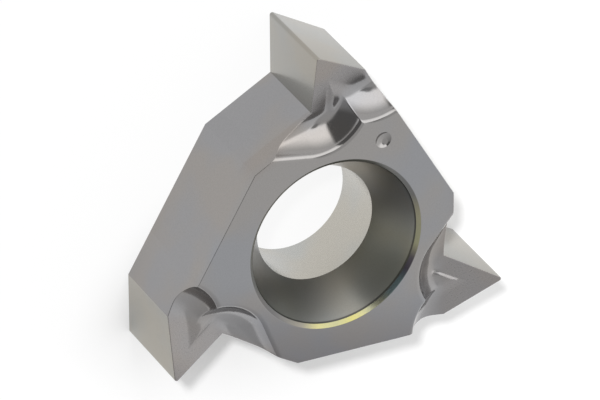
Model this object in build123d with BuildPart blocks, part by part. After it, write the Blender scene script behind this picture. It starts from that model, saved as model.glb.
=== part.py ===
import os
from math import cos, radians, sin, tan

from build123d import *

# A laydown threading insert: a triangular body with three alike sixty degree teeth, one at each
# corner, and a countersunk screw hole. Millimetres and degrees. The origin is where the hole's
# axis meets the back face, +Z points out of the front face, and the first tooth points along +X
# with its long side on -Y.

# Body
corner_count = 3
inscribed_radius = 3.175
facet_reach = 3.29
insert_thickness = 2.95

# Thread tooth, flush with the long side
tooth_width = 1.735
thread_angle = 60.0
nose_radius = 0.065

# Screw hole, a bore that opens into a cone with a small rim
bore_radius = 1.6
sink_radius = 2.27
sink_angle = 60.0
rim_width = 0.1
rim_depth = 0.08

# Rake face, which falls from the tooth's point towards the body
rake_root_depth = 0.57
rake_angle = 14.6

# Lobe cut into the front face beside the facet. Its middle is set from the facet and from the
# tooth's centre line, and its radius is that of the cutter above the hollow.
facet_lobe_radius = 1.402
facet_lobe_out = 0.38
facet_lobe_aside = 0.68
facet_lobe_start_angle = 141.0
facet_lobe_end_angle = 232.0
facet_lobe_hollow_radius = 0.9

# Lobe cut into the front face beside the long side. Its middle is set from the facet and from
# the long side.
side_lobe_radius = 1.563
side_lobe_out = 0.34
side_lobe_aside = 0.125
side_lobe_hollow_radius = 0.95

# Chip breaker, a low arrow on the rake face with its point towards the tooth's point, whose back
# runs into the lobes
hump_margin = 0.42
hump_nose_radius = 0.1
hump_half_width = 0.52
hump_back = 0.75
hump_height = 0.085
hump_wall_lean = 52.0

# Corner mark on the front face, set from the facet and from the long side
dimple_back = 1.65
dimple_inset = 0.695
dimple_radius = 0.22
dimple_depth = 0.08

# How far a cutter reaches past the face that it cuts
overrun = 1.0

# Worked out from the sizes above
half_thread_angle = thread_angle / 2
tooth_height = tooth_width / 2 / tan(radians(half_thread_angle))
tooth_y = tooth_width / 2 - inscribed_radius
tooth_root_y = tooth_width - inscribed_radius
tooth_x = facet_reach + tooth_height
corner_turn = 360 / corner_count
side_turn = 90 - corner_turn / 2
body_corner_y = (inscribed_radius - facet_reach * cos(radians(side_turn))) / sin(radians(side_turn))
cutter_x = tooth_x + overrun
cutter_y = inscribed_radius + overrun
facet_lobe_x = facet_reach + facet_lobe_out
facet_lobe_y = tooth_y + facet_lobe_aside
side_lobe_x = facet_reach + side_lobe_out
side_lobe_y = -inscribed_radius - side_lobe_aside
hump_point_x = tooth_height - hump_margin / sin(radians(half_thread_angle))
hump_shoulder_x = hump_point_x - hump_half_width / tan(radians(half_thread_angle))
sink_top = insert_thickness - rim_depth
throat_height = sink_top - (sink_radius - bore_radius) / tan(radians(sink_angle / 2))
dimple_ball_radius = (dimple_radius**2 + dimple_depth**2) / 2 / dimple_depth

# The rake face of the first tooth, through the tooth's root
rake_plane = Plane(
    origin=(facet_reach, 0, insert_thickness - rake_root_depth),
    x_dir=(cos(radians(rake_angle)), 0, sin(radians(rake_angle))),
    z_dir=(-sin(radians(rake_angle)), 0, cos(radians(rake_angle))),
)
cutter_plane = Plane.XY.offset(insert_thickness + overrun)


def curved(edges):
    """The edges that aren't straight, lowest first."""
    return edges.filter_by(GeomType.LINE, reverse=True).sort_by(Axis.Z)


# Facet lobe cutter: straight in from the facet, round past the cusp, then straight to the side
with BuildPart() as facet_lobe:
    with BuildSketch(cutter_plane):
        with BuildLine():
            bend = CenterArc(
                (facet_lobe_x, facet_lobe_y),
                facet_lobe_radius,
                facet_lobe_start_angle,
                facet_lobe_end_angle - facet_lobe_start_angle,
            )
            facet_run = PolarLine(bend @ 0, cutter_y, direction=(bend % 0) * -1)
            side_run = PolarLine(bend @ 1, cutter_y, direction=bend % 1)
            Line(facet_run @ 1, side_run @ 1)
        make_face()
    extrude(amount=-insert_thickness - overrun)
    split(bisect_by=rake_plane, keep=Keep.TOP)
    fillet(curved(facet_lobe.edges())[0], radius=facet_lobe_hollow_radius)

# Side lobe cutter: a quarter round with straight ends that reach past the cusp and the long side
with BuildPart() as side_lobe:
    with BuildSketch(cutter_plane):
        with BuildLine():
            bend = CenterArc((side_lobe_x, side_lobe_y), side_lobe_radius, 90, 90)
            Polyline(
                bend @ 1,
                ((bend @ 1).X, -cutter_y),
                (cutter_x, -cutter_y),
                (cutter_x, (bend @ 0).Y),
                bend @ 0,
            )
        make_face()
    extrude(amount=-insert_thickness - overrun)
    split(bisect_by=rake_plane, keep=Keep.TOP)
    fillet(curved(side_lobe.edges())[0], radius=side_lobe_hollow_radius)

# Chip breaker: its front walls run along the two cutting flanks at one margin
with BuildPart() as hump:
    with BuildSketch(rake_plane) as hump_foot:
        with BuildLine():
            Polyline(
                (hump_point_x, tooth_y),
                (hump_shoulder_x, tooth_y + hump_half_width),
                (-hump_back, tooth_y + hump_half_width),
                (-hump_back, tooth_y - hump_half_width),
                (hump_shoulder_x, tooth_y - hump_half_width),
                close=True,
            )
        make_face()
        fillet(hump_foot.vertices().sort_by(Axis.X)[-1], radius=hump_nose_radius)
    extrude(amount=hump_height, taper=hump_wall_lean)

# Insert
with BuildPart() as insert:
    with BuildSketch() as outline:
        # Body, a triangle whose corners are cut square to the long sides
        with BuildLine():
            corners = []
            for corner in range(corner_count):
                for x, y in ((facet_reach, -inscribed_radius), (facet_reach, body_corner_y)):
                    corners.append(Vector(x, y).rotate(Axis.Z, corner * corner_turn))
            Polyline(*corners, close=True)
        make_face()
        # Teeth
        with BuildSketch(mode=Mode.PRIVATE) as tooth:
            with BuildLine():
                Polyline(
                    (facet_reach, -inscribed_radius),
                    (tooth_x, tooth_y),
                    (facet_reach, tooth_root_y),
                    close=True,
                )
            make_face()
            fillet(tooth.vertices().sort_by(Axis.X)[-1], radius=nose_radius)
        with PolarLocations(0, corner_count):
            add(tooth.sketch)
    extrude(amount=insert_thickness)
    # Lobes and rake faces
    with PolarLocations(0, corner_count):
        add(facet_lobe.part, mode=Mode.SUBTRACT)
        add(side_lobe.part, mode=Mode.SUBTRACT)
        add(hump.part)
    # Screw hole
    with BuildSketch(Plane.XZ):
        with BuildLine():
            Polyline(
                (0, 0),
                (bore_radius, 0),
                (bore_radius, throat_height),
                (sink_radius, sink_top),
                (sink_radius + rim_width, insert_thickness),
                (0, insert_thickness),
                close=True,
            )
        make_face()
    revolve(axis=Axis.Z, mode=Mode.SUBTRACT)
    # Corner mark, the cap of a ball
    dimple_spot = (
        facet_reach - dimple_back,
        dimple_inset - inscribed_radius,
        insert_thickness - dimple_depth + dimple_ball_radius,
    )
    with Locations(dimple_spot):
        Sphere(dimple_ball_radius, mode=Mode.SUBTRACT)

insert.part.label = "insert_body"
os.makedirs("parts", exist_ok=True)
export_step(insert.part, "parts/insert_body.step")
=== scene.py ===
from math import cos, hypot, pi, radians, sin, sqrt, tan

import bmesh
import bpy
from mathutils import Euler, Matrix, Vector


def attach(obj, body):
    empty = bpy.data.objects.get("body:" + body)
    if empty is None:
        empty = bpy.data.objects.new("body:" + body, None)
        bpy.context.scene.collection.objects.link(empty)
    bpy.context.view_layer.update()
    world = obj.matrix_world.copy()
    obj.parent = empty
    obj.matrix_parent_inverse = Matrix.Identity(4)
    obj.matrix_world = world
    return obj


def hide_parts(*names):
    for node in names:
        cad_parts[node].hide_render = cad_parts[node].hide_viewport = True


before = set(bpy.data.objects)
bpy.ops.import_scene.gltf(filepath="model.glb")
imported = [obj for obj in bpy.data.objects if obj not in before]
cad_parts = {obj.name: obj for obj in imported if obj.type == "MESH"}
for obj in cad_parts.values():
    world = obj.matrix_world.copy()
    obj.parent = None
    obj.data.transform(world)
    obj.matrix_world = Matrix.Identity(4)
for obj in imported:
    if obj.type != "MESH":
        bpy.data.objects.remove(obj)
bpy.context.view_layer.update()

# Lengths are in millimetres and angles in degrees until a finished mesh is scaled to metres. The
# frame is the part's own: the screw hole's axis is Z, the back face is Z = 0, and the first tooth
# points along +X with its long side on -Y.
MM = 0.001
NODE = "insert_body"

# Body
CORNERS = 3
INSCRIBED_RADIUS = 3.175
FACET_REACH = 3.29
THICKNESS = 2.95
EDGE_ROUND = 0.018
EDGE_STEPS = 5
BACK_ROUND = 0.03

# Faces of the mesh: how little a side's normal rises, the angle over which an edge is sharp, and
# how far large faces lead in the shading
SIDE_NORMAL_RISE = 0.5
SHARP_ANGLE = 25.0
FLAT_LEAD = 100

# Thread tooth
TOOTH_WIDTH = 1.735
FLANK_ANGLE = 30.0
NOSE_RADIUS = 0.065
NOSE_STEPS = 8

# Rake face
RAKE_ROOT_DEPTH = 0.57
RAKE_ANGLE = 14.6

# Lobes, each with its middle, its radius, the angles where its round starts and ends, and its
# wall's hollow radius and lean at the front face
FACET_LOBE = (3.67, -1.63, 1.34, 141.0, 232.0, 1.08, 69.0)
SIDE_LOBE = (3.63, -3.3, 1.5, 90.0, 180.0, 1.04, 71.0)
LAND_ROUND = 0.16
CUSP_SOFTNESS = 0.04
FLOOR_SOFTNESS = 0.1

# Floor of the lobes, with its depth at the tooth's root, how it falls towards the body and how it
# rises away from the long side
FLOOR_DEPTH = 0.6
FLOOR_FALL = 8.5
FLOOR_RISE = 11.3

# Ledge where the rake face ends above the lobes' floor
LEDGE = [(3.24, -1.4), (2.93, -1.9), (3.11, -2.34), (2.72, -2.78), (2.72, -3.2)]
LEDGE_ANGLE = 17.0
LEDGE_SOFTNESS = 0.08

# Chip breaker hump on the rake face, with its half width, point and wall angle on each side. The
# depth of its top is at the facet.
HUMP_FACET_SIDE = (0.51, 3.9, 47.0)
HUMP_LONG_SIDE = (0.56, 3.56, 29.0)
HUMP_POINT_ANGLE = 29.0
HUMP_TOP_DEPTH = 0.485
HUMP_TOP_ANGLE = 14.6
HUMP_POINT_SOFTNESS = 0.12
HUMP_CREST_SOFTNESS = 0.08
HUMP_FOOT_SOFTNESS = 0.075

# Screw hole
BORE_RADIUS = 1.6
SINK_RADIUS = 2.27
SINK_ANGLE = 60.0
RIM_WIDTH = 0.1
RIM_DEPTH = 0.08
HOLE_ROUND = 0.02
HOLE_ROUND_STEPS = 4
HOLE_STEPS = 144

# Corner mark
DIMPLE_X = 1.64
DIMPLE_Y = -2.48
DIMPLE_RADIUS = 0.22
DIMPLE_DEPTH = 0.08
DIMPLE_RINGS = 10
DIMPLE_FLOOR = 0.01
DIMPLE_STEPS = 40

# Mesh of a corner's rake face and lobes, whose columns crowd towards the flat front face
ROW_PITCH = 0.02
COLUMN_COUNT = 110
COLUMN_CROWDING = 1.7

# Coated carbide. Its tone fades darker across the front face towards one azimuth, which is painted
# shade, and changes between two depths under that face.
COATED_TONE = (0.3, 0.3, 0.3)
COATED_ROUGHNESS = 0.1
PAINTED_SHADE_AZIMUTH = 136.0
PAINTED_SHADE_START = 0.8
PAINTED_SHADE_END = 3.6
PAINTED_SHADE_TONE = (0.2, 0.197, 0.2)
DEEP_START = 0.05
DEEP_END = 0.4
DEEP_TONE = (0.307, 0.3, 0.293)

# The rake faces are duller: between two distances on the way out to a tooth, and over a height
RAKE_START = 3.05
RAKE_END = 3.35
RAKE_LOW = 2.2
RAKE_HIGH = 2.3
RAKE_TINT = (0.99, 0.965, 0.945)
RAKE_ROUGHNESS = 0.24

# The other finishes
FLANK_TONE = (0.338, 0.328, 0.293)
FLANK_ROUGHNESS = 0.16
BORE_TONE = (0.5, 0.495, 0.455)
BORE_ROUGHNESS = 0.25
SEAT_ROUGHNESS = 0.3
RIM_ROUGHNESS = 0.2

# A painted shade line along the top of the screw seat: its height and how much of the colour it keeps
PAINTED_SHADE_LINE = 0.06
PAINTED_SHADE_LINE_LEVEL = 0.35

# What every finish has: a slow drift between two tints, and a fine grain in tone, gloss and height
DRIFT_SCALE = 500.0
DRIFT_RANGE = (0.38, 0.62)
WARM_TINT = (1.03, 0.995, 0.97)
COOL_TINT = (0.97, 0.985, 1.03)
GRAIN_SCALE = 22000.0
GRAIN_DETAIL = 3.0
GRAIN_RANGE = (0.3, 0.7)
GRAIN_LEVEL = 0.93
GRAIN_SHARE = 0.5
GRAIN_ROUGHNESS = 0.04
GRAIN_STRENGTH = 0.15
GRAIN_HEIGHT = 0.002

# Tints by azimuth, of the screw's seat and of the rim where that meets the front face. The seat's
# change by azimuth is painted light and shade. The rim's tints are its coating's gold hue with painted
# highlights and shade.
SEAT_PAINTED_LIGHT_TINTS = [
    (0, (0.33, 0.32, 0.3)),
    (90, (0.25, 0.26, 0.27)),
    (130, (0.33, 0.345, 0.34)),
    (165, (0.36, 0.36, 0.33)),
    (200, (0.36, 0.36, 0.3)),
    (225, (0.36, 0.36, 0.3)),
    (260, (0.38, 0.39, 0.4)),
    (300, (0.42, 0.4, 0.36)),
]
RIM_HUE_AND_PAINTED_LIGHT_TINTS = [
    (0, (0.2, 0.2, 0.19)),
    (105, (0.15, 0.15, 0.15)),
    (126, (0.2, 0.19, 0.16)),
    (138, (0.37, 0.35, 0.17)),
    (150, (0.31, 0.31, 0.18)),
    (162, (0.38, 0.36, 0.14)),
    (175, (0.36, 0.36, 0.24)),
    (183, (0.34, 0.34, 0.25)),
    (190, (0.25, 0.32, 0.31)),
    (200, (0.22, 0.3, 0.3)),
    (208, (0.13, 0.12, 0.15)),
    (216, (0.14, 0.13, 0.15)),
    (226, (0.42, 0.42, 0.27)),
    (244, (0.36, 0.35, 0.24)),
    (262, (0.18, 0.18, 0.17)),
]

# Camera
CAMERA_AZIMUTH = 6.957
CAMERA_ELEVATION = 51.789
CAMERA_ROLL = 135.766
CAMERA_DISTANCE = 220.5
CAMERA_AIM = (0.661, -0.047, 1.475)
CAMERA_LENS = 527.6
CAMERA_CLIP = 10

# Floor. It is seen as plain white by these shares: more where it shows through the hole, and more
# on the side of one azimuth than where the insert's shadow falls. The extra white there is painted light
# that takes out the floor's shade by the insert.
FLOOR_REACH = 1000
FLOOR_COLOUR = 0.79
FLOOR_WHITE = 0.1
FLOOR_WHITE_HOLE = 0.9
FLOOR_HOLE_SOFT = 0.1
FLOOR_WHITE_LEFT = 0.92
LEFT_AZIMUTH = 10.0
LEFT_START = 0.5
LEFT_END = 3.0

# Soft sun, and how far it stands left of the camera and above it
SUN_LEVEL = 2.1
SUN_SPREAD = 4.0
SUN_LEFT = 0.07
SUN_UP = 0.08

# Studio, with the brightness of its walls at each azimuth. Below the horizon it is white, overhead
# is a ceiling, and the tall lamp has a dim foot and a dim gap high up.
STUDIO_LEVELS = [
    (0, 0.2),
    (45, 0.2),
    (60, 0.45),
    (100, 0.6),
    (135, 0.75),
    (187, 0.95),
    (240, 1.15),
    (262, 2.1),
    (340, 2.1),
    (346, 0.2),
]
HORIZON_START = 2
HORIZON_END = 5
CEILING_START = 60
CEILING_END = 68
CEILING_LEVEL = 0.75
LAMP_START = 262
LAMP_START_SOFT = 15
LAMP_END = 344
LAMP_END_SOFT = 4
LAMP_FOOT = 0.42
LAMP_RISE = 38
GAP_START = 58
GAP_END = 72
GAP_SOFT = 4
GAP_TURN = 300
GAP_TURN_SOFT = 15
GAP_LEVEL = 0.4

# The finishes, in the order of the insert's material slots
FINISHES = ["coated carbide", "ground flank", "bore", "screw seat", "tinted rim"]

# Worked out from the sizes above
TOOTH_Y = TOOTH_WIDTH / 2 - INSCRIBED_RADIUS
TOOTH_ROOT_Y = TOOTH_WIDTH - INSCRIBED_RADIUS
FLANK_SLOPE = 1 / tan(radians(FLANK_ANGLE))
TOOTH_X = FACET_REACH + TOOTH_WIDTH / 2 * FLANK_SLOPE
NOSE_X = TOOTH_X - NOSE_RADIUS / sin(radians(FLANK_ANGLE))
RAKE_FALL = tan(radians(RAKE_ANGLE))
CORNER_TURN = 2 * pi / CORNERS
RIM_RADIUS = SINK_RADIUS + RIM_WIDTH
SINK_TOP = THICKNESS - RIM_DEPTH
THROAT_HEIGHT = SINK_TOP - (SINK_RADIUS - BORE_RADIUS) / tan(radians(SINK_ANGLE / 2))


def soft_min(a, b, softness):
    """The lower of two heights, with a rounded change from one to the other."""
    share = min(max(0.5 + 0.5 * (b - a) / softness, 0), 1)
    return b + (a - b) * share - softness * share * (1 - share)


def soft_max(a, b, softness):
    """The higher of two heights, with a rounded change from one to the other."""
    return -soft_min(-a, -b, softness)


def into_lobe(x, y, lobe):
    """How far a point lies inside a lobe, from its edge on the front face."""
    middle_x, middle_y, radius, start, end = lobe[:5]
    x -= middle_x
    y -= middle_y
    for angle, way in ((radians(start), 1), (radians(end), -1)):
        if way * (x * sin(angle) - y * cos(angle)) > 0:
            return radius - x * cos(angle) - y * sin(angle)
    return radius - hypot(x, y)


def wall_start(lobe):
    """Where the front face starts to round off into a lobe's wall, from the lobe's edge inwards."""
    hollow, lean = lobe[-2], radians(lobe[-1])
    across = (hollow + LAND_ROUND) ** 2 - (hollow * cos(lean) + LAND_ROUND) ** 2
    return hollow * sin(lean) - sqrt(across)


def wall_depth(x, y, lobe):
    """Depth under the front face of one lobe's wall, round at its top and hollow below."""
    inside = into_lobe(x, y, lobe)
    hollow, lean = lobe[-2], radians(lobe[-1])
    start = wall_start(lobe)
    change = start + (hollow * sin(lean) - start) * LAND_ROUND / (hollow + LAND_ROUND)
    if inside <= start:
        return 0
    if inside < change:
        return LAND_ROUND - sqrt(LAND_ROUND**2 - (inside - start) ** 2)
    return sqrt(hollow**2 - max(hollow * sin(lean) - inside, 0) ** 2) - hollow * cos(lean)


def walls_depth(x, y):
    """Depth under the front face of a corner's two lobe walls."""
    facet = wall_depth(x, y, FACET_LOBE)
    side = wall_depth(x, y, SIDE_LOBE)
    if facet == side == 0:
        return 0
    return soft_max(facet, side, min(CUSP_SOFTNESS, max(facet, side)))


def hump_rise(x, y):
    """How high the hump's two side walls have risen over its foot at a point."""
    climbs = []
    for way, (half_width, point, angle) in ((1, HUMP_FACET_SIDE), (-1, HUMP_LONG_SIDE)):
        aside = way * (y - TOOTH_Y)
        to_point = (point - x) * sin(radians(HUMP_POINT_ANGLE)) - aside * cos(radians(HUMP_POINT_ANGLE))
        inside = soft_min(half_width - aside, to_point, HUMP_POINT_SOFTNESS)
        climbs.append(inside * tan(radians(angle)))
    return min(climbs)


def beside(x, y, start, end):
    """How far a point lies to the left of the line from start to end."""
    along_x = end[0] - start[0]
    along_y = end[1] - start[1]
    return (along_x * (y - start[1]) - along_y * (x - start[0])) / hypot(along_x, along_y)


def behind_ledge(x, y):
    """How far a point lies behind the ledge, on the side of the lobes."""
    ends = [beside(x, y, start, end) for start, end in zip(LEDGE, LEDGE[1:])]
    notch = soft_max(ends[1], ends[2], LEDGE_SOFTNESS)
    inside = soft_min(soft_min(ends[0], notch, LEDGE_SOFTNESS), ends[3], LEDGE_SOFTNESS)
    return -soft_min(inside, 0, LEDGE_SOFTNESS)


def corner_depth(x, y):
    """Depth under the front face of a corner's rake face, with its lobes and hump."""
    rake = RAKE_ROOT_DEPTH - RAKE_FALL * (x - FACET_REACH)
    top = HUMP_TOP_DEPTH - tan(radians(HUMP_TOP_ANGLE)) * (x - FACET_REACH)
    hump = soft_max(rake - hump_rise(x, y), top, HUMP_CREST_SOFTNESS)
    floor = soft_min(rake, hump, HUMP_FOOT_SOFTNESS)
    floor += behind_ledge(x, y) * tan(radians(LEDGE_ANGLE))
    lobes_floor = FLOOR_DEPTH - tan(radians(FLOOR_FALL)) * (x - FACET_REACH)
    lobes_floor -= tan(radians(FLOOR_RISE)) * (y - TOOTH_ROOT_Y)
    walls = soft_min(walls_depth(x, y), lobes_floor, FLOOR_SOFTNESS)
    return soft_min(walls, floor, FLOOR_SOFTNESS)


def land_edge(y):
    """Where the flat front face ends on the way to the tooth, along a line of one y."""
    ends = []
    for lobe in (FACET_LOBE, SIDE_LOBE):
        middle_x, middle_y, radius, start = lobe[:4]
        reach = radius - wall_start(lobe)
        rise = y - middle_y
        angle = radians(start)
        if -reach < rise < reach * sin(angle):
            ends.append(middle_x - sqrt(reach**2 - rise**2))
        elif rise > 0 and start > 90:
            ends.append(middle_x + (reach - rise * sin(angle)) / cos(angle))
    return min(ends)


def outline_edge(y):
    """Where the top of the tooth or the facet ends, just inside its rounded edge."""
    root = FACET_REACH - EDGE_ROUND
    if abs(y - TOOTH_Y) < (NOSE_RADIUS - EDGE_ROUND) * cos(radians(FLANK_ANGLE)):
        return NOSE_X + sqrt((NOSE_RADIUS - EDGE_ROUND) ** 2 - (y - TOOTH_Y) ** 2)
    to_flank = (TOOTH_WIDTH / 2 - abs(y - TOOTH_Y)) * FLANK_SLOPE
    return max(root, FACET_REACH + to_flank - EDGE_ROUND / sin(radians(FLANK_ANGLE)))


def spaced(start, end, pitch):
    """Evenly spaced values from start up to, but not including, end."""
    count = max(1, round(abs(end - start) / pitch))
    return [start + (end - start) * step / count for step in range(count)]


def corner_rows():
    """The y of each row of a corner's mesh, with rows where the outline bends."""
    first = FACET_LOBE[1]
    while outline_edge(first) - land_edge(first) > ROW_PITCH:
        first += ROW_PITCH / 4
    root = TOOTH_ROOT_Y - EDGE_ROUND / FLANK_SLOPE
    nose = (NOSE_RADIUS - EDGE_ROUND) * cos(radians(FLANK_ANGLE))
    last = EDGE_ROUND - INSCRIBED_RADIUS
    rows = spaced(first, root, ROW_PITCH)
    rows += spaced(root, TOOTH_Y + nose, ROW_PITCH)
    rows += spaced(TOOTH_Y + nose, TOOTH_Y - nose, 2 * nose / NOSE_STEPS)
    rows += spaced(TOOTH_Y - nose, last, ROW_PITCH)
    return rows + [last]


def corner_sheet(mesh, rows, turn):
    """One corner's rake face and lobes as a grid. Gives the grid's vertices by column and row."""
    last_row = len(rows) - 1
    made = bmesh.ops.create_grid(mesh, x_segments=COLUMN_COUNT, y_segments=last_row, size=1)
    placed = {}
    for vert in made["verts"]:
        column = round((vert.co.x + 1) / 2 * COLUMN_COUNT)
        row = round((vert.co.y + 1) / 2 * last_row)
        y = rows[row]
        start = land_edge(y)
        x = start + (outline_edge(y) - start) * (column / COLUMN_COUNT) ** COLUMN_CROWDING
        vert.co = (x, y, THICKNESS - corner_depth(x, y))
        placed[column, row] = vert
    bmesh.ops.rotate(mesh, verts=made["verts"], matrix=Matrix.Rotation(turn, 3, "Z"))
    return placed


def ring_of(mesh, radius, height, middle, steps):
    """A ring of vertices and edges that stands free."""
    made = bmesh.ops.create_circle(mesh, cap_ends=False, segments=steps, radius=radius)
    bmesh.ops.translate(mesh, verts=made["verts"], vec=(*middle, height))
    return list(dict.fromkeys(edge for vert in made["verts"] for edge in vert.link_edges))


def carry_ring(mesh, edges, middle, rings):
    """Extrudes a ring through a list of radii and heights, and gives the last ring."""
    for radius, height in rings:
        made = bmesh.ops.extrude_edge_only(mesh, edges=edges)["geom"]
        edges = [item for item in made if isinstance(item, bmesh.types.BMEdge)]
        for vert in (item for item in made if isinstance(item, bmesh.types.BMVert)):
            away = (vert.co.xy - Vector(middle)).normalized() * radius
            vert.co = (middle[0] + away.x, middle[1] + away.y, height)
    return edges


def rounded(points, radius, steps):
    """A line of radii and heights whose inner corners are rounded."""
    line = [points[0]]
    for before, corner, after in zip(points, points[1:], points[2:]):
        corner = Vector(corner)
        back = (Vector(before) - corner).normalized()
        on = (Vector(after) - corner).normalized()
        half = back.angle(on) / 2
        middle = corner + (back + on).normalized() * radius / sin(half)
        start = corner + back * radius / tan(half) - middle
        end = corner + on * radius / tan(half) - middle
        for step in range(steps + 1):
            line.append(tuple(middle + start.slerp(end, step / steps).normalized() * radius))
    return line + [points[-1]]


def outward_ways(ring):
    """The way outwards in plan at each vertex of a ring, long enough to shift both its sides by 1."""
    area = sum(a.co.x * b.co.y - b.co.x * a.co.y for a, b in zip(ring, ring[1:] + ring[:1]))
    side = 1 if area > 0 else -1
    ways = []
    for before, vert, after in zip(ring[-1:] + ring[:-1], ring, ring[1:] + ring[:1]):
        normals = []
        for a, b in ((before, vert), (vert, after)):
            along = (b.co.xy - a.co.xy).normalized() * side
            normals.append(Vector((along.y, -along.x)))
        both = normals[0] + normals[1]
        ways.append(both * 2 / both.length_squared)
    return ways


def front_border(mesh, sheets, last_row):
    """The edges round the flat front face, with new ones where the corners leave it open."""
    side_in = INSCRIBED_RADIUS - EDGE_ROUND
    facet_in = FACET_REACH - EDGE_ROUND
    meeting_y = (side_in - facet_in * cos(CORNER_TURN / 4)) / sin(CORNER_TURN / 4)
    border = []
    for corner, sheet in enumerate(sheets):
        following = sheets[corner - 1]
        inner = [sheet[0, row] for row in range(last_row + 1)]
        across = [sheet[column, 0] for column in range(COLUMN_COUNT + 1)]
        for line in (inner, across):
            border += [mesh.edges.get(pair) for pair in zip(line, line[1:])]
        place = Vector((facet_in, meeting_y, THICKNESS))
        place.rotate(Euler((0, 0, (corner - 1) * CORNER_TURN)))
        meeting = mesh.verts.new(place)
        border.append(mesh.edges.new((sheet[0, last_row], meeting)))
        border.append(mesh.edges.new((meeting, following[COLUMN_COUNT, 0])))
    return border


def screw_hole(mesh):
    """The hole's wall. Gives its edges on the front face and on the back face."""
    hole_line = rounded(
        [
            (RIM_RADIUS + 2 * HOLE_ROUND, THICKNESS),
            (RIM_RADIUS, THICKNESS),
            (SINK_RADIUS, SINK_TOP),
            (BORE_RADIUS, THROAT_HEIGHT),
            (BORE_RADIUS, 0),
            (BORE_RADIUS + 2 * HOLE_ROUND, 0),
        ],
        HOLE_ROUND,
        HOLE_ROUND_STEPS,
    )
    rim = ring_of(mesh, *hole_line[0], (0, 0), HOLE_STEPS)
    return rim, carry_ring(mesh, rim, (0, 0), hole_line[1:])


def corner_mark(mesh):
    """The dimple beside the first tooth. Gives its edges on the front face."""
    middle = (DIMPLE_X, DIMPLE_Y)
    mark = ring_of(mesh, DIMPLE_RADIUS, THICKNESS, middle, DIMPLE_STEPS)
    ball = (DIMPLE_RADIUS**2 + DIMPLE_DEPTH**2) / 2 / DIMPLE_DEPTH
    line = []
    for ring in range(1, DIMPLE_RINGS + 1):
        radius = DIMPLE_RADIUS * max(1 - ring / DIMPLE_RINGS, DIMPLE_FLOOR)
        line.append((radius, THICKNESS - DIMPLE_DEPTH + ball - sqrt(ball**2 - radius**2)))
    bmesh.ops.edgeloop_fill(mesh, edges=carry_ring(mesh, mark, middle, line))
    return mark


def outer_wall(mesh, ring):
    """The sides, with a rounded edge at the front and at the back. Gives their edges on the back."""
    ways = outward_ways(ring)
    base = [vert.co.copy() for vert in ring]
    # Each step goes so far out, and lies either that far below the ring or at that height
    steps = []
    for step in range(1, EDGE_STEPS + 1):
        angle = pi / 2 * step / EDGE_STEPS
        steps.append((EDGE_ROUND * sin(angle), EDGE_ROUND * (1 - cos(angle)), None))
    for step in range(EDGE_STEPS + 1):
        angle = pi / 2 * step / EDGE_STEPS
        out = EDGE_ROUND - BACK_ROUND * (1 - cos(angle))
        steps.append((out, None, BACK_ROUND * (1 - sin(angle))))
    edges = [mesh.edges.get(pair) for pair in zip(ring, ring[1:] + ring[:1])]
    for out, drop, height in steps:
        made = bmesh.ops.extrude_edge_only(mesh, edges=edges)["geom"]
        edges = [item for item in made if isinstance(item, bmesh.types.BMEdge)]
        fresh = {item for item in made if isinstance(item, bmesh.types.BMVert)}
        carried = []
        for vert, way, start in zip(ring, ways, base):
            new = next(edge.other_vert(vert) for edge in vert.link_edges if edge.other_vert(vert) in fresh)
            x, y = start.xy + way * out
            new.co = (x, y, start.z - drop if height is None else height)
            carried.append(new)
        ring = carried
    return edges


def place_of(item, count):
    """Where an edge or a face comes in order, by its first vertices in a mesh of count vertices."""
    place = 0
    for index in sorted(vert.index for vert in item.verts)[:3]:
        place = place * count + index
    return place


def put_in_order(mesh):
    """Orders the edges and faces alike each run, since extruding gives them in any order."""
    mesh.verts.index_update()
    for items in (mesh.edges, mesh.faces):
        items.sort(key=lambda item: place_of(item, len(mesh.verts)))


def insert_mesh():
    """The whole insert as one closed mesh."""
    mesh = bmesh.new()
    rows = corner_rows()
    sheets = [corner_sheet(mesh, rows, corner * CORNER_TURN) for corner in range(CORNERS)]
    border = front_border(mesh, sheets, len(rows) - 1)
    rim, back_rim = screw_hole(mesh)
    mark = corner_mark(mesh)
    bmesh.ops.triangle_fill(mesh, edges=border + rim + mark, use_beauty=True, normal=(0, 0, 1))
    back = outer_wall(mesh, outer_ring(mesh, set(back_rim)))
    bmesh.ops.triangle_fill(mesh, edges=back + back_rim, use_beauty=True, normal=(0, 0, -1))
    bmesh.ops.recalc_face_normals(mesh, faces=mesh.faces)
    put_in_order(mesh)
    for edge in mesh.edges:
        edge.smooth = edge.calc_face_angle() < radians(SHARP_ANGLE)
    for face in mesh.faces:
        face.material_index = FINISHES.index(finish_of(face))
    return mesh


def finish_of(face):
    """The name of the finish that one face of the insert has."""
    middle = face.calc_center_median()
    reach = middle.xy.length
    if reach < RIM_RADIUS:
        if middle.z > SINK_TOP:
            return "tinted rim"
        if middle.z > THROAT_HEIGHT:
            return "screw seat"
        if reach < BORE_RADIUS + HOLE_ROUND:
            return "bore"
    if abs(face.normal.z) < SIDE_NORMAL_RISE:
        for corner in range(CORNERS):
            place = middle.copy()
            place.rotate(Euler((0, 0, -corner * CORNER_TURN)))
            if place.x > FACET_REACH:
                return "ground flank"
    return "coated carbide"


def outer_ring(mesh, inner):
    """The mesh's open outer edge, in order, leaving out the edges given."""
    edges = {edge for edge in mesh.edges if edge.is_boundary} - inner
    vert = min((vert for edge in edges for vert in edge.verts), key=lambda vert: (vert.co.y, vert.co.x))
    ring = []
    while True:
        onward = [edge for edge in vert.link_edges if edge in edges]
        if not onward:
            return ring
        ring.append(vert)
        edges.discard(onward[0])
        vert = onward[0].other_vert(vert)


def finished(name, mesh):
    """A piece from a bmesh in millimetres."""
    bmesh.ops.scale(mesh, vec=(MM, MM, MM), verts=mesh.verts)
    data = bpy.data.meshes.new(name)
    mesh.to_mesh(data)
    mesh.free()
    data.polygons.foreach_set("use_smooth", [True] * len(data.polygons))
    piece = bpy.data.objects.new(name, data)
    bpy.context.scene.collection.objects.link(piece)
    return piece


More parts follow.
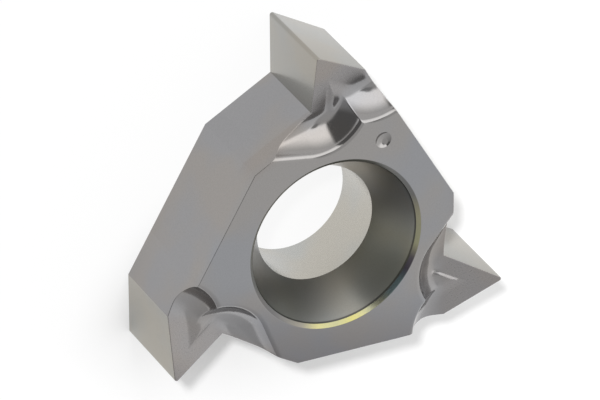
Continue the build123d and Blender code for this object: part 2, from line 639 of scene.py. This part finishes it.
class Socket:
    """A socket in a node tree. Arithmetic on it adds Math nodes."""

    def __init__(self, tree, link=None):
        self.tree = tree
        self.link = link

    def node(self, kind, settings=None, values=None, output=0):
        """Adds a node, sets it and then its sockets, and gives one of its outputs."""
        node = self.tree.nodes.new(kind)
        for name, setting in (settings or {}).items():
            if name == "stops":
                fill_ramp(node.color_ramp, setting)
            else:
                setattr(node, name, setting)
        inputs = [socket for socket in node.inputs if socket.enabled]
        for name, value in (values or {}).items():
            if isinstance(name, str):
                socket = next(socket for socket in inputs if socket.name == name)
            else:
                socket = inputs[name]
            if isinstance(value, Socket):
                self.tree.links.new(value.link, socket)
            else:
                socket.default_value = value
        outputs = [socket for socket in node.outputs if socket.enabled]
        if isinstance(output, str):
            return Socket(self.tree, next(socket for socket in outputs if socket.name == output))
        return Socket(self.tree, outputs[output]) if outputs else None

    def math(self, operation, *values):
        """Adds a Math node to the values."""
        return self.node("ShaderNodeMath", {"operation": operation}, dict(enumerate(values)))

    def __add__(self, other):
        return self.math("ADD", self, other)

    def __mul__(self, other):
        return self.math("MULTIPLY", self, other)

    def __truediv__(self, other):
        return self.math("DIVIDE", self, other)

    def __rtruediv__(self, other):
        return self.math("DIVIDE", other, self)

    __radd__ = __add__
    __rmul__ = __mul__

    def axes(self, names):
        """The parts of this vector along the axes named."""
        return [self.node("ShaderNodeSeparateXYZ", values={0: self}, output=name) for name in names]

    def ramp(self, low, high):
        """0 at low and 1 at high, with a smooth change between."""
        return self.node(
            "ShaderNodeMapRange",
            {"interpolation_type": "SMOOTHSTEP"},
            {"Value": self, "From Min": low, "From Max": high},
        )

    def tinted(self, tint):
        """This colour times a tint."""
        settings = {"data_type": "RGBA", "blend_type": "MULTIPLY"}
        return self.node("ShaderNodeMix", settings, {"Factor": 1.0, "A": self, "B": (*tint, 1)})

    def blend(self, first, second):
        """A colour that goes from first to second as this value goes from 0 to 1."""
        return self.node("ShaderNodeMix", {"data_type": "RGBA"}, {"Factor": self, "A": first, "B": second})


def fill_ramp(ramp, stops):
    """Gives a colour ramp its stops, each a place and a colour."""
    while len(ramp.elements) < len(stops):
        ramp.elements.new(0)
    for element, (place, colour) in zip(ramp.elements, stops):
        element.position = place
        element.color = colour


def gray(level):
    """A colour without hue."""
    return (level, level, level, 1)


def studio():
    """The studio round the insert: a tall soft lamp on one side, and a dim side by the camera."""
    world = bpy.data.worlds.new("studio")
    bpy.context.scene.world = world
    world.use_nodes = True
    tree = world.node_tree
    tree.nodes.clear()
    start = Socket(tree)
    way = start.node("ShaderNodeTexCoord", output="Generated")
    x, y, z = way.axes("XYZ")
    turn = turn_of(x, y)
    stops = [(place / 360, gray(level)) for place, level in STUDIO_LEVELS]
    walls = turn.node("ShaderNodeValToRGB", {"stops": stops}, {0: turn}, output="Color")
    rise = z.math("ARCSINE", z)
    past_start = turn.ramp((LAMP_START - LAMP_START_SOFT) / 360, LAMP_START / 360)
    before_end = turn.ramp((LAMP_END + LAMP_END_SOFT) / 360, LAMP_END / 360)
    foot = rise.ramp(radians(LAMP_RISE), 0) * past_start * before_end
    walls = (foot * (1 - LAMP_FOOT)).blend(walls, gray(0))
    over = rise.ramp(radians(CEILING_START), radians(CEILING_END))
    light = over.blend(walls, gray(CEILING_LEVEL))
    gap = rise.ramp(radians(GAP_START), radians(GAP_START + GAP_SOFT))
    gap = gap * rise.ramp(radians(GAP_END), radians(GAP_END - GAP_SOFT))
    gap = gap * past_start * turn.ramp((GAP_TURN + GAP_TURN_SOFT) / 360, GAP_TURN / 360)
    light = gap.blend(light, gray(GAP_LEVEL))
    horizon = rise.ramp(radians(HORIZON_START), radians(HORIZON_END))
    light = horizon.blend(gray(1), light)
    light = light.node("ShaderNodeBackground", values={"Color": light})
    light.node("ShaderNodeOutputWorld", values={"Surface": light})


def pale_floor():
    """A white floor that shows the insert's shadow faintly. Painted light takes out its shade through the
    hole and on one side.
    """
    material = bpy.data.materials.new("pale floor")
    material.use_nodes = True
    tree = material.node_tree
    tree.nodes.clear()
    start = Socket(tree)
    lit = start.node("ShaderNodeBsdfDiffuse", values={"Color": gray(FLOOR_COLOUR)})
    white = start.node("ShaderNodeEmission", values={"Color": gray(1), "Strength": 1.0})
    seen = start.node("ShaderNodeLightPath", output="Is Camera Ray")
    mirrored = start.node("ShaderNodeLightPath", output="Is Glossy Ray")
    through = start.node("ShaderNodeLightPath", output="Is Transmission Ray")
    shown = seen.math("MAXIMUM", seen.math("MAXIMUM", seen, mirrored), through)
    place = start.node("ShaderNodeTexCoord", output="Object")
    x, y = (axis / MM for axis in place.axes("XY"))
    # Painted light: the floor shows more white on one side and through the hole, where the insert shades
    # it
    left = x * cos(radians(LEFT_AZIMUTH)) + y * sin(radians(LEFT_AZIMUTH))
    share = left.ramp(LEFT_START, LEFT_END) * (FLOOR_WHITE_LEFT - FLOOR_WHITE) + FLOOR_WHITE
    reach = x.math("SQRT", x * x + y * y)
    hole = reach.ramp(BORE_RADIUS + FLOOR_HOLE_SOFT, BORE_RADIUS)
    share = share.math("MAXIMUM", share, hole * FLOOR_WHITE_HOLE)
    surface = start.node("ShaderNodeMixShader", values={0: shown * share, 1: lit, 2: white})
    start.node("ShaderNodeOutputMaterial", values={"Surface": surface})
    return material


def carbide(name, tone, roughness, deep_tone=None, painted_shade_from=None):
    """A carbide finish with a fine grain, whose tone drifts. The tone is one colour, or a list of tints by
    azimuth, which paint light and shade round the hole. It may change below the front face and darken
    across it as painted shade, or have a painted shade line above a height."""
    material = bpy.data.materials.new(name)
    material.use_nodes = True
    tree = material.node_tree
    tree.nodes.clear()
    start = Socket(tree)
    place = start.node("ShaderNodeTexCoord", output="Object")
    x, y, z = (axis / MM for axis in place.axes("XYZ"))
    drift = start.node("ShaderNodeTexNoise", values={"Vector": place, "Scale": DRIFT_SCALE})
    grain = {"Vector": place, "Scale": GRAIN_SCALE, "Detail": GRAIN_DETAIL}
    grain = start.node("ShaderNodeTexNoise", values=grain)
    grains = grain.ramp(*GRAIN_RANGE)
    if deep_tone:
        # Painted shade: the tone darkens across the front face towards one azimuth
        along = x * cos(radians(PAINTED_SHADE_AZIMUTH)) + y * sin(radians(PAINTED_SHADE_AZIMUTH))
        front = along.ramp(PAINTED_SHADE_START, PAINTED_SHADE_END).blend((*tone, 1), (*PAINTED_SHADE_TONE, 1))
        deep = z.ramp(THICKNESS - DEEP_START, THICKNESS - DEEP_END)
        colour = deep.blend(front, (*deep_tone, 1))
        rake = tooth_reach(x, y).ramp(RAKE_START, RAKE_END) * z.ramp(RAKE_LOW, RAKE_HIGH)
        roughness += rake * (RAKE_ROUGHNESS - roughness)
        colour = rake.blend(colour, colour.tinted(RAKE_TINT))
    elif isinstance(tone, list):
        # Tints by azimuth: painted light and shade round the hole, over the rim's own gold hue
        colour = tint_round(x, y, tone)
    else:
        colour = start.node("ShaderNodeRGB")
        colour.link.default_value = (*tone, 1)
    if painted_shade_from:
        # Painted shade: the colour darkens above a height, as a line along the top of the screw seat
        painted_shade = z.ramp(painted_shade_from, painted_shade_from + PAINTED_SHADE_LINE / 2)
        colour = painted_shade.blend(colour, colour.tinted([PAINTED_SHADE_LINE_LEVEL] * 3))
    hue = drift.ramp(*DRIFT_RANGE).blend(colour.tinted(WARM_TINT), colour.tinted(COOL_TINT))
    colour = (grains * GRAIN_SHARE).blend(hue, hue.tinted([GRAIN_LEVEL] * 3))
    height = {"Strength": GRAIN_STRENGTH, "Distance": GRAIN_HEIGHT * MM, "Height": grain}
    shader = start.node(
        "ShaderNodeBsdfPrincipled",
        values={
            "Base Color": colour,
            "Metallic": 1.0,
            "Roughness": roughness + grains * GRAIN_ROUGHNESS,
            "Normal": start.node("ShaderNodeBump", values=height),
        },
    )
    start.node("ShaderNodeOutputMaterial", values={"Surface": shader})
    return material


def tooth_reach(x, y):
    """How far a place lies out from the hole's axis towards its tooth."""
    reach = x
    for corner in range(1, CORNERS):
        turn = corner * CORNER_TURN
        reach = reach.math("MAXIMUM", reach, x * cos(turn) + y * sin(turn))
    return reach


def turn_of(x, y):
    """The azimuth of a place or a way, from 0 up to 1 for a whole turn."""
    return x.math("FRACT", x.math("ARCTAN2", y, x) / (2 * pi) + 1)


def tint_round(x, y, tints):
    """A colour that changes with the way round the hole."""
    turn = turn_of(x, y)
    stops = [(azimuth / 360, (*tint, 1)) for azimuth, tint in tints]
    return turn.node("ShaderNodeValToRGB", {"stops": stops}, {0: turn}, output="Color")


def camera_turn():
    """The camera's turn, with its back along the third axis."""
    look = Euler((radians(90 - CAMERA_ELEVATION), 0, radians(CAMERA_AZIMUTH + 90))).to_matrix()
    return look @ Matrix.Rotation(radians(CAMERA_ROLL), 3, "Z")


def soft_sun():
    """A soft lamp a little up and left of the camera, which gives the floor its narrow shadow."""
    data = bpy.data.lights.new("soft sun", "SUN")
    data.energy = SUN_LEVEL
    data.angle = radians(SUN_SPREAD)
    sun = bpy.data.objects.new("soft sun", data)
    bpy.context.scene.collection.objects.link(sun)
    way = camera_turn() @ Vector((-SUN_LEFT, SUN_UP, 1))
    sun.matrix_world = way.to_track_quat("Z", "Y").to_matrix().to_4x4()
    sun.visible_glossy = False


def at_camera():
    """The camera, where the picture of the insert was taken."""
    data = bpy.data.cameras.new("camera")
    data.lens = CAMERA_LENS
    data.clip_start = CAMERA_CLIP * MM
    camera = bpy.data.objects.new("camera", data)
    bpy.context.scene.collection.objects.link(camera)
    look = camera_turn()
    place = (Vector(CAMERA_AIM) + look.col[2] * CAMERA_DISTANCE) * MM
    camera.matrix_world = Matrix.Translation(place) @ look.to_4x4()
    bpy.context.scene.camera = camera


insert = finished("insert", insert_mesh())
weighted = insert.modifiers.new("flat faces stay flat", "WEIGHTED_NORMAL")
weighted.keep_sharp = True
weighted.weight = FLAT_LEAD
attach(insert, "root")
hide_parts(NODE)
for finish in (
    carbide(FINISHES[0], COATED_TONE, COATED_ROUGHNESS, DEEP_TONE),
    carbide(FINISHES[1], FLANK_TONE, FLANK_ROUGHNESS),
    carbide(FINISHES[2], BORE_TONE, BORE_ROUGHNESS),
    carbide(FINISHES[3], SEAT_PAINTED_LIGHT_TINTS, SEAT_ROUGHNESS, painted_shade_from=SINK_TOP - PAINTED_SHADE_LINE),
    carbide(FINISHES[4], RIM_HUE_AND_PAINTED_LIGHT_TINTS, RIM_ROUGHNESS),
):
    insert.data.materials.append(finish)

floor_mesh = bmesh.new()
bmesh.ops.create_grid(floor_mesh, x_segments=1, y_segments=1, size=FLOOR_REACH)
floor = finished("floor", floor_mesh)
floor.data.materials.append(pale_floor())

studio()
soft_sun()
at_camera()
bpy.context.scene.view_settings.view_transform = "Standard"
